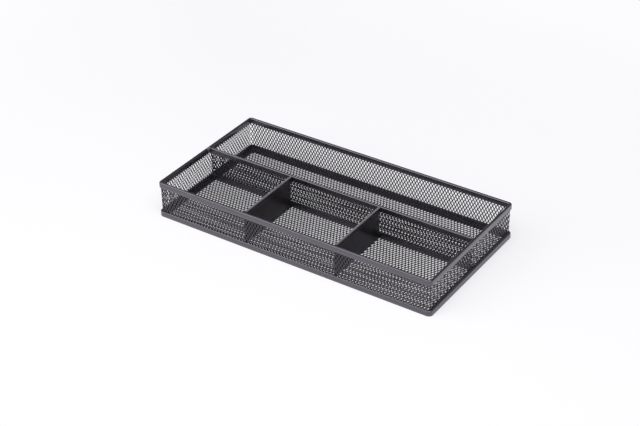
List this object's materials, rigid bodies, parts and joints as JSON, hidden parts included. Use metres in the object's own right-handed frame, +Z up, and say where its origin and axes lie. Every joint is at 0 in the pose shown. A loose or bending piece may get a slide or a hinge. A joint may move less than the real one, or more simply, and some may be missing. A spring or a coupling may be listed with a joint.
{
  "type": "mesh desk tray",
  "caption": "Low open desk tray of black expanded steel mesh with a folded rim, a base frame, a long mesh divider and plain sheet cross dividers, for pens and small stationery.",
  "frame": {"origin": "centre of the base frame's footprint, on the surface that the tray stands on", "axes": "+X along the tray's length, +Y towards the long compartment at the back, +Z up"},
  "size_m": [0.3, 0.15, 0.0375],
  "materials": {
    "frame_steel": "satin black powder coat",
    "mesh_steel": "satin black powder coat",
    "sheet_steel": "satin black powder coat"
  },
  "bodies": {
    "root": {"base_frame": "frame_steel", "front_wall_mesh": "mesh_steel", "back_wall_mesh": "mesh_steel", "right_wall_mesh": "mesh_steel", "left_wall_mesh": "mesh_steel", "floor_mesh": "mesh_steel", "top_rim": "frame_steel", "long_divider_mesh": "mesh_steel", "long_divider_top_rail": "frame_steel", "long_divider_foot_rail": "frame_steel", "cross_divider_left": "sheet_steel", "cross_divider_right": "sheet_steel"}
  },
  "joints": []
}
